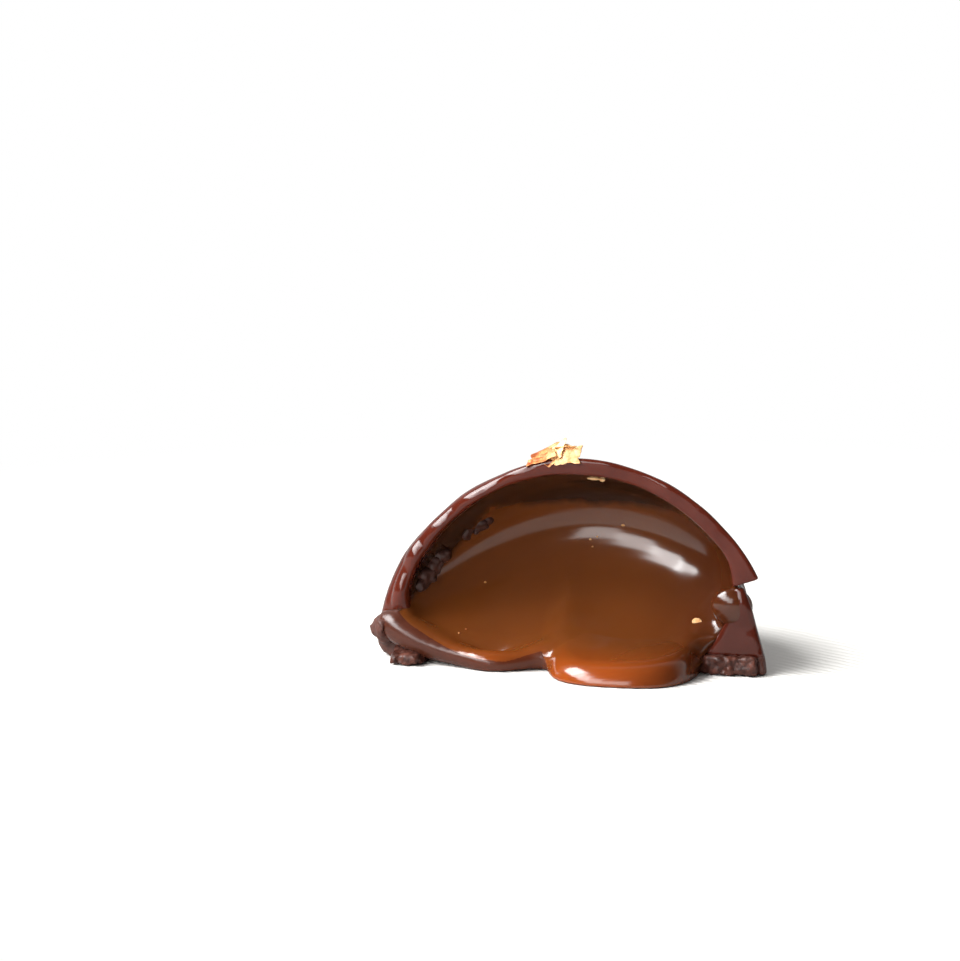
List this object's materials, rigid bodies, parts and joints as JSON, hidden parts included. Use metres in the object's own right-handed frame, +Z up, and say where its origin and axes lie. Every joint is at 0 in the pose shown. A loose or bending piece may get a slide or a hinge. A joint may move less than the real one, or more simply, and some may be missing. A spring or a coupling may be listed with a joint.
{
  "type": "filled dome chocolate, cut half",
  "caption": "Half of a ribbed dome chocolate, cut upright through its middle: a thin shell lined with caramel that runs out over the base into a puddle, with gold leaf on top.",
  "frame": {"origin": "on the surface it stands on, under the middle of its bounding box", "axes": "+Z up, along the dome's axis; +X to the right along the cut; +Y from the open cut towards the dome's ribbed back"},
  "size_m": [0.029, 0.021, 0.0165],
  "materials": {
    "dark_chocolate": "satin dark chocolate",
    "base_chocolate": "broken, matt dark chocolate",
    "caramel": "wet, glossy caramel",
    "soft_chocolate": "softened chocolate, satin",
    "gold_leaf": "crumpled gold leaf"
  },
  "bodies": {
    "root": {"shell": "dark_chocolate", "base": "base_chocolate", "caramel": "caramel", "lip": "soft_chocolate", "gold_leaf": "gold_leaf"}
  },
  "joints": []
}
